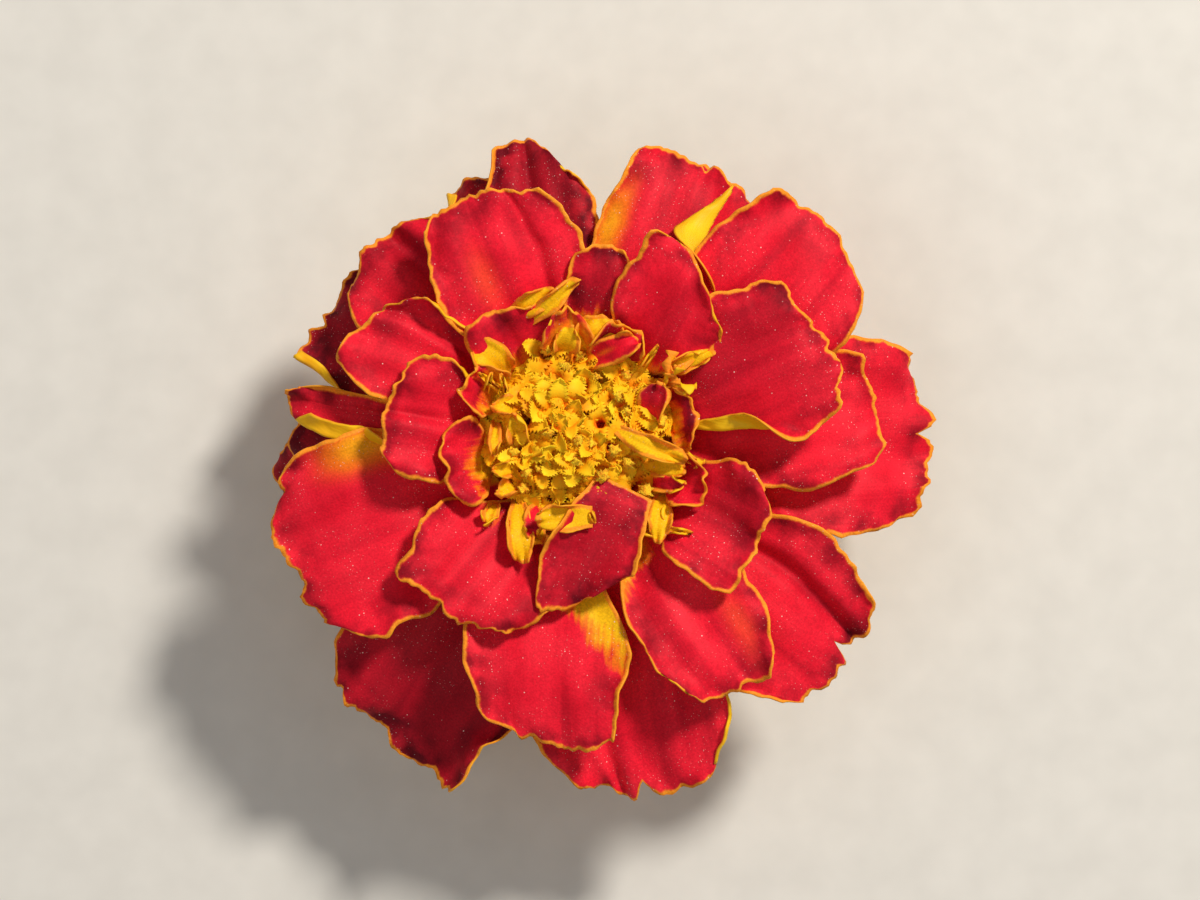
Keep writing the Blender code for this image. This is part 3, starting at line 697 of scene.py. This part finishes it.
def addLobe(mesh, rng, matrix, angle, opening, size):
    # one pointed lobe of a floret's mouth, fringed with hairs
    along, across = disc["lobeGrid"]
    made = bmesh.ops.create_grid(mesh, x_segments=along, y_segments=across, size=1)["verts"]
    rise = mesh.verts.layers.float["rise"]
    length = disc["lobeLength"] * size * rng.uniform(*disc["lobeLengths"])
    width = disc["lobeWidth"] * size * rng.uniform(*disc["lobeWidths"])
    twist = rng.uniform(*disc["lobeTwists"])
    tip = radians(opening + rng.uniform(*disc["tipTurns"]))
    start = radians(rng.uniform(*disc["lobeStarts"]))
    tint = rng.uniform(*disc["tints"])
    for vert in made:
        u, v = (vert.co.x + 1) / 2, vert.co.y
        taper = sin(pi * (0.22 + 0.76 * u)) ** 0.6
        if abs(v) > 0.9 and u > 0.1:
            taper *= 1 + disc["fringe"] * (1 if round(u * along) % 2 else -1)
        bend = mix(start, tip, smoothStep(u * 1.15))
        out = disc["mouthRadius"] * size + length * u * cos(bend) * 0.9
        up = disc["tubeLength"] * size + length * u * sin(bend)
        side = width / 2 * taper * v
        lift = 0.18 * width * v * v + twist * side * u
        vert.co = matrix @ Matrix.Rotation(angle, 4, "Z") @ Vector(
            (out - lift * sin(bend), side, up + lift * cos(bend)))
        vert[rise] = 0.36 + 0.6 * u ** 0.6 + tint


def addFloret(mesh, rng, place, direction, size, opening):
    matrix = turnTo(place - direction * disc["sunk"] * mm, direction, rng.uniform(0, tau))
    rise = mesh.verts.layers.float["rise"]
    length = disc["tubeLength"] * size
    along, around = disc["tubeGrid"]
    made = bmesh.ops.create_grid(mesh, x_segments=along, y_segments=around, size=1)["verts"]
    for vert in made:
        u, turn = (vert.co.x + 1) / 2, vert.co.y * pi
        radius = size * mix(disc["tubeRadius"], disc["mouthRadius"], smoothStep(u * 1.3 - 0.3))
        radius *= 1 + 0.08 * cos(5 * turn)
        vert.co = matrix @ Vector((radius * cos(turn), radius * sin(turn), length * u))
        vert[rise] = 0.5 * u
    start = rng.uniform(0, tau)
    for i in range(disc["lobes"]):
        angle = start + tau * i / disc["lobes"] + rng.uniform(-0.25, 0.25)
        addLobe(mesh, rng, matrix, angle, opening, size)


def addTuft(mesh, rng, place, direction, size):
    # anthers and style, thick with pollen
    radius = disc["tuftRadius"] * size
    height = disc["tubeLength"] * size
    matrix = turnTo(place + direction * (height + disc["tuftLift"]), direction, rng.uniform(0, tau))
    made = bmesh.ops.create_icosphere(mesh, subdivisions=3, radius=radius)["verts"]
    seed = rng.uniform(0, 50)
    for vert in made:
        anthers = noise.voronoi(vert.co / (0.3 * mm) + Vector((seed, 0, 0)))[0][0]
        rough = 0.72 + 0.95 * max(0.0, 1 - 2 * anthers)
        vert.co = matrix @ (Vector((vert.co.x, vert.co.y, vert.co.z * 1.2)) * rough)


def addBud(mesh, rng, place, radius):
    made = bmesh.ops.create_uvsphere(mesh, u_segments=20, v_segments=10, radius=radius)["verts"]
    direction = Vector((rng.uniform(-0.3, 0.3), rng.uniform(-0.3, 0.3), 1)).normalized()
    matrix = turnTo(place, direction, rng.uniform(0, tau))
    for vert in made:
        furrow = 1 - 0.12 * cos(5 * atan2(vert.co.y, vert.co.x))
        vert.co = matrix @ Vector((vert.co.x * furrow, vert.co.y * furrow, vert.co.z * 1.5))


def floretMaterial(name, stops):
    # disc florets: soft, matt petal tissue, red-orange down in the tubes and yellow at the lobes; the deep
    # red-orange low down is partly painted shade of the gaps between florets
    material, tree, place = newMaterial(name, {"Specular IOR Level": 0.12})
    rise = addNode(tree, "Attribute", attribute_name="rise", out="Fac")
    patches = addNode(tree, "TexNoise", {"Vector": place, "Scale": 1 / (1.4 * mm), "Detail": 3})
    both = addNode(tree, "Math", {0: patches, 1: 0.6, 2: rise}, operation="MULTIPLY_ADD")
    both = addNode(tree, "Math", {0: both, 1: 0.3}, operation="SUBTRACT")
    colour = addNode(tree, "ValToRGB", {"Fac": both}, stops=stops)
    grain = addNode(tree, "TexNoise", {"Vector": place, "Scale": 1 / (0.18 * mm)})
    finishSurface(tree, colour, grain, (0.4, 0.05), ((0.3, 0.5), (0.7, 0.7)))
    return material


def pollenMaterial():
    # pollen: dry golden grains of 0.03 mm, in clumps that are drawn at 0.1 mm, so that they show
    material, tree, place = newMaterial("lemonPollen")
    clumps = addNode(tree, "TexVoronoi", {"Vector": place, "Scale": 1 / (0.11 * mm)})
    patches = addNode(tree, "TexNoise", {"Vector": place, "Scale": 1 / (0.5 * mm)})
    both = addNode(tree, "Math", {0: clumps, 1: -0.3, 2: patches}, operation="MULTIPLY_ADD")
    colour = addNode(tree, "ValToRGB", {"Fac": both},
                     stops=[(0.1, "#F0900C"), (0.5, "#FFDA24"), (0.28, "#FDBC16")])
    finishSurface(tree, colour, clumps, (0.9, 0.08), ((0, 0.7), (0.6, 0.95)))
    return material


def budMaterial():
    # closed buds and the floor of the disc: taut skin, rust red to orange
    material, tree, place = newMaterial("redBrownBud")
    patches = addNode(tree, "TexNoise", {"Vector": place, "Scale": 1 / (0.7 * mm), "Detail": 3})
    colour = addNode(tree, "ValToRGB", {"Fac": patches},
                     stops=[(0.3, "#B02A08"), (0.72, "#EE7414"), (0.5, "#D6480A")])
    finishSurface(tree, colour, patches, (0.4, 0.1), ((0.3, 0.35), (0.7, 0.6)))
    return material


def spinProfile(mesh, profile, steps):
    # turns (radius, height) pairs in mm about the axis into a closed skin
    verts = [mesh.verts.new((radius * mm, 0, height * mm)) for radius, height in profile]
    edges = [mesh.edges.new(pair) for pair in zip(verts, verts[1:])]
    bmesh.ops.spin(mesh, geom=verts + edges, axis=(0, 0, 1), cent=(0, 0, 0), angle=tau,
                   steps=steps, use_merge=True)
    bmesh.ops.remove_doubles(mesh, verts=mesh.verts[:], dist=0.001 * mm)
    bmesh.ops.recalc_face_normals(mesh, faces=mesh.faces[:])


def widen(vert, scale):
    # away from the axis
    vert.co.x *= scale
    vert.co.y *= scale


def addDisc():
    rng = random.Random(disc["seed"] + 1)
    bare = disc["hollow"], disc["leaning"]
    hollowX, hollowY, hollowRadius = disc["hollow"]
    florets, tufts, buds = newMesh(["rise"]), newMesh(), newMesh()
    spinProfile(buds, disc["core"], 72)
    for place, direction, out in floretPlaces():
        if any(hypot(place.x - x, place.y - y) < radius for x, y, radius in bare):
            continue
        size = rng.uniform(*disc["sizes"])
        opening = mix(*disc["openings"], out) + rng.uniform(*disc["openingSpread"])
        addFloret(florets, rng, place, direction, size, opening)
        if rng.random() < disc["tuftShare"]:
            addTuft(tufts, rng, place, direction, size * rng.uniform(*disc["tuftSizes"]))
    for i in range(disc["buds"]):
        angle = i * goldenAngle
        radius = hollowRadius * sqrt((i + 0.5) / disc["buds"])
        place = Vector((hollowX + radius * cos(angle), hollowY + radius * sin(angle),
                        discHeight(0) + rng.uniform(*disc["budHeights"]) * mm))
        addBud(buds, rng, place, rng.uniform(*disc["budRadii"]) * mm)
    golden = floretMaterial("goldenFloret", [(0.2, "#D03008"), (1, "#FFD824"), (0.4, "#EC600A"),
                                             (0.56, "#F8960C"), (0.72, "#FDBA14")])
    # the lobes' backs take a darker orange, partly painted shade, as they face away from the light
    orange = floretMaterial("orangeFloretBackShade", [(0.2, "#C82A08"), (1, "#FAB41A"), (0.5, "#E65A0A"),
                                                 (0.75, "#F28A10")])
    addPiece("discFlorets", florets, [golden, orange, golden], "disc_florets",
             disc["thickness"])
    addPiece("discPollen", tufts, [pollenMaterial()], "disc_florets")
    addPiece("discBuds", buds, [budMaterial()], "disc_florets")


addDisc()


claws = {
    "count": 46,               # one to a ray
    "flute": 0.16 * mm,
    "steps": 276,
    "profile": [(6.95, 17.1), (6.4, 16.1), (5.6, 15), (4.7, 13.9), (4.15, 13.1), (4.05, 11),
                (4.05, 8.7), (2.9, 5.6)],
    "orangeFrom": 10,          # mm up, and over how many mm
    "orangeSpan": 7,
}


def addClaws():
    # the narrow feet of the rays, packed side by side into a fluted funnel
    mesh = newMesh(["rise"])
    spinProfile(mesh, claws["profile"], claws["steps"])
    rise = mesh.verts.layers.float["rise"]
    for vert in mesh.verts:
        turn = atan2(vert.co.y, vert.co.x)
        vert[rise] = (vert.co.z / mm - claws["orangeFrom"]) / claws["orangeSpan"]
        widen(vert, 1 - claws["flute"] / vert.co.xy.length * (0.5 + 0.5 * cos(claws["count"] * turn)))
    material, tree, place = newMaterial("waxyClaw")
    # ray florets' feet: smooth, pale green-yellow low down, orange where the blades spread
    rise = addNode(tree, "Attribute", attribute_name="rise", out="Fac")
    streaks = stretchedNoise(tree, place, (1 / (0.4 * mm), 1 / (0.4 * mm), 1 / (4 * mm)), 3)
    both = addNode(tree, "Math", {0: streaks, 1: 0.5, 2: rise}, operation="MULTIPLY_ADD")
    both = addNode(tree, "MapRange", {0: both, 2: 1.4})
    colour = addNode(tree, "ValToRGB", {"Fac": both},
                     stops=[(0.2, "#A9A844"), (0.92, "#C8501A"), (0.5, "#DDB030"), (0.7, "#E09020")])
    finishSurface(tree, colour, streaks, (0.5, 0.1), ((0.3, 0.4), (0.7, 0.6)))
    addPiece("rayClaws", mesh, [material], "ray_petals")


addClaws()


calyx = {
    "outer": [(0, 3.2), (1.35, 3.2), (2.75, 3.7), (4.24, 5.1), (5.14, 7.4), (5.4, 9.8), (5.3, 12.4)],
    "inner": [(4.55, 12.3), (4.5, 10.5), (4.45, 8), (3.1, 4.7)],
    "smooth": 6,               # points put between two of the outer ones
    "steps": 216,
    "bracts": 9,
    "toothHeight": 1.3 * mm,
    "toothFrom": 9.4 * mm,
    "rim": 12.4 * mm,
    "rib": 0.22 * mm,
    "seam": 0.14 * mm,         # depth of the groove where two bracts meet
    "keel": 0.08 * mm,         # height of a bract's midrib
    "radius": 5.3,             # mm, for the size of the pattern
    "plain": 2 * mm,           # radius of the middle, which has no ribs
}


def smoothProfile(points, count):
    # a soft curve through the points
    result = []
    for i in range(len(points) - 1):
        before, a, b, after = (points[min(max(j, 0), len(points) - 1)] for j in (i - 1, i, i + 1, i + 2))
        for step in range(count):
            t = step / count
            result.append(tuple(
                0.5 * (2 * q + (r - p) * t + (2 * p - 5 * q + 4 * r - s) * t * t
                       + (3 * q - p - 3 * r + s) * t ** 3)
                for p, q, r, s in zip(before, a, b, after)))
    return result + [points[-1]]


def addCalyx():
    mesh = newMesh([], ["calyxPlace"])
    outer = smoothProfile(calyx["outer"], calyx["smooth"])
    outer = [(max(radius, 0), height) for radius, height in outer]
    spinProfile(mesh, outer + calyx["inner"], calyx["steps"])
    place = mesh.verts.layers.float_vector["calyxPlace"]
    for vert in mesh.verts:
        turn = atan2(vert.co.y, vert.co.x) / tau * calyx["bracts"]
        fromMiddle = abs(turn - round(turn)) * 2       # 0 on a bract's midrib, 1 where two meet
        radius = vert.co.xy.length
        vert[place] = (turn * tau / calyx["bracts"] * calyx["radius"], vert.co.z / mm, fromMiddle)
        nearRim = smoothStep((vert.co.z - calyx["toothFrom"]) / (calyx["rim"] - calyx["toothFrom"]))
        pointed = (1 - fromMiddle) ** 1.4
        vert.co.z += calyx["toothHeight"] * nearRim * (pointed - 0.4 * fromMiddle)
        if radius > calyx["plain"]:
            ridge = calyx["rib"] * (0.5 - fromMiddle) + calyx["keel"] * exp(-(fromMiddle / 0.12) ** 2)
            ridge -= calyx["seam"] * exp(-((1 - fromMiddle) / 0.1) ** 2)
            ridge *= smoothStep((radius - calyx["plain"]) / (2.5 * mm))
            widen(vert, 1 + ridge / radius)
    material, tree, where = newMaterial("waxyGreenBract", layer="calyxPlace")
    # calyx: smooth waxy leaf tissue, with long dark oil glands in rows
    height = addNode(tree, "SeparateXYZ", {0: where}, out="Y")
    fibres = stretchedNoise(tree, where, (1 / 0.3, 1 / 4, 0), 3)
    broad = addNode(tree, "TexNoise", {"Vector": where, "Scale": 1 / 2.5, "Detail": 3})
    both = addNode(tree, "Math", {0: fibres, 1: 0.6, 2: broad}, operation="MULTIPLY_ADD")
    both = addNode(tree, "MapRange", {0: both, 1: 0.5, 2: 1.1})
    green = addNode(tree, "ValToRGB", {"Fac": both},
                    stops=[(0, "#466A22"), (0.92, "#8AAE4C"), (0.47, "#66902F")])
    tips = addNode(tree, "MapRange", {0: height, 1: 11, 2: 13.4, 4: 0.75})
    green = addNode(tree, "Mix", {0: tips, 6: green, 7: linear("#6B3A2C")}, data_type="RGBA", out=2)
    rows = addNode(tree, "Mapping", {"Vector": where, "Scale": (1 / 0.92, 1 / 1.5, 0)})
    glands = addNode(tree, "TexVoronoi", {"Vector": rows, "Scale": 1, "Randomness": 0.45})
    gland = addNode(tree, "MapRange", {0: glands, 1: 0.14, 2: 0.2, 3: 0.85, 4: 0})
    colour = addNode(tree, "Mix", {0: gland, 6: green, 7: linear("#5A3012")}, data_type="RGBA", out=2)
    bump = addNode(tree, "Bump", {"Height": fibres, "Strength": 0.4, "Distance": 0.08 * mm})
    bump = addNode(tree, "Bump", {"Height": gland, "Strength": 0.5, "Distance": 0.08 * mm, "Normal": bump})
    rough = addNode(tree, "MapRange", {0: gland, 3: 0.48, 4: 0.25})
    connect(tree, colour, bump, rough)
    addPiece("calyxCup", mesh, [material], "involucre")


addCalyx()


stub = {
    "profile": [(0, 0.5), (0.5, 0.5), (0.95, 0.5), (1.3, 0.5), (1.44, 0.56), (1.46, 0.8), (1.47, 1.2),
                (1.5, 1.65), (1.62, 2.1), (1.82, 2.55), (1.95, 2.85), (1.97, 3.1), (1.9, 3.17), (0, 3.17)],
    "steps": 96,
    "ridges": 8,
    "ridge": 0.07 * mm,
    "core": 1.2 * mm,          # radius inside which there are no ridges
    "cutTop": 0.52 * mm,       # faces under this are the cut end
}


def addStalk():
    mesh = newMesh()
    spinProfile(mesh, stub["profile"], stub["steps"])
    for vert in mesh.verts:
        turn = atan2(vert.co.y, vert.co.x)
        radius = vert.co.xy.length
        if radius > stub["core"]:
            widen(vert, 1 + stub["ridge"] * (abs(cos(turn * stub["ridges"] / 2)) - 0.8) / radius)
    for face in mesh.faces:
        face.material_index = 1 if face.calc_center_median().z < stub["cutTop"] else 0
    skin, tree, place = newMaterial("ribbedGreenStalk")
    # stalk: ridged green skin with long fibres
    fibres = stretchedNoise(tree, place, (1 / (0.18 * mm), 1 / (0.18 * mm), 1 / (3 * mm)), 3)
    colour = addNode(tree, "ValToRGB", {"Fac": fibres},
                     stops=[(0.3, "#4C6A26"), (0.75, "#93AE55"), (0.5, "#6D8E38")])
    finishSurface(tree, colour, fibres, (0.6, 0.08), ((0.3, 0.4), (0.7, 0.6)))

    cut, tree, place = newMaterial("freshCutPith")
    # cut end: wet pale pith inside a ring of green bundles
    centred = addNode(tree, "Mapping", {"Vector": place, "Location": (-axisX, -axisY, 0)})
    flat = addNode(tree, "VectorMath", {0: centred, 1: (1, 1, 0)}, operation="MULTIPLY")
    radius = addNode(tree, "VectorMath", {0: flat}, operation="LENGTH", out="Value")
    grain = addNode(tree, "TexNoise", {"Vector": place, "Scale": 1 / (0.15 * mm)})
    spot = addNode(tree, "Math", {0: grain, 1: 0.3 * mm, 2: radius}, operation="MULTIPLY_ADD")
    share = addNode(tree, "MapRange", {0: spot, 2: 1.6 * mm})
    colour = addNode(tree, "ValToRGB", {"Fac": share},
                     stops=[(0.3, "#DDE3B4"), (0.95, "#6D8E38"), (0.66, "#C2CF8A"), (0.8, "#8FAA55")])
    finishSurface(tree, colour, grain, (0.5, 0.05), ((0.3, 0.25), (0.7, 0.45)))
    addPiece("stalkStub", mesh, [skin, cut], "stalk")


addStalk()


stage = {
    "frameWidth": 89.6 * mm,          # of the view, at the height of the petals
    "lens": 135,                      # mm, like the sensor's width
    "sensor": 36,
    "nearest": 0.01,                  # distance from which things show
    "petalHeight": 17 * mm,
    "aim": (1.27 * mm, -0.37 * mm),   # of the view's middle from the flower's axis
    "floorSize": 2.5,                 # half its side
    "paperGrain": 300,                # to a metre
    "paperRoughness": 0.9,
    # azimuth, elevation, distance, diameter, watts and colour
    "lights": {"key": (50, 48, 0.6, 0.1, 3.3, "#FFF8EE"),
               "fill": (215, 65, 0.7, 0.5, 0.55, "#FFFAF6")},
    "surroundings": ("#F8F6F4", 0.26),
}


def addFloor():
    material, tree, place = newMaterial("paleMattPaper", {"Roughness": stage["paperRoughness"]})
    grain = addNode(tree, "TexNoise", {"Vector": place, "Scale": stage["paperGrain"]})
    colour = addNode(tree, "ValToRGB", {"Fac": grain}, stops=[(0.3, "#DEDCD6"), (0.7, "#E4E2DC")])
    connect(tree, colour)
    mesh = bmesh.new()
    bmesh.ops.create_grid(mesh, x_segments=2, y_segments=2, size=stage["floorSize"])
    floor = addMesh("floor", mesh, [material])


def addLight(name, azimuth, elevation, distance, size, power, colour):
    light = bpy.data.lights.new(name, "AREA")
    light.shape = "DISK"
    light.size = size
    light.energy = power
    light.color = linear(colour)[:3]
    lamp = addObject(name, light)
    a, e = radians(azimuth), radians(elevation)
    away = Vector((cos(a) * cos(e), sin(a) * cos(e), sin(e)))
    lamp.location = away * distance
    lamp.rotation_euler = away.to_track_quat("Z", "Y").to_euler()


def addCamera():
    camera = bpy.data.cameras.new("camera")
    camera.lens = stage["lens"]
    camera.sensor_width = stage["sensor"]
    camera.clip_start = stage["nearest"]
    holder = addObject("camera", camera)
    distance = stage["frameWidth"] * stage["lens"] / camera.sensor_width
    holder.location = (axisX + stage["aim"][0], axisY + stage["aim"][1], stage["petalHeight"] + distance)
    bpy.context.scene.camera = holder


def addWorld():
    world = bpy.data.worlds.new("softbox")
    world.use_nodes = True
    background = world.node_tree.nodes["Background"]
    colour, strength = stage["surroundings"]
    background.inputs["Color"].default_value = linear(colour)
    background.inputs["Strength"].default_value = strength
    bpy.context.scene.world = world
    bpy.context.scene.view_settings.view_transform = "Standard"


addFloor()
for name, values in stage["lights"].items():
    addLight(name, *values)
addCamera()
addWorld()
print("made the stage")
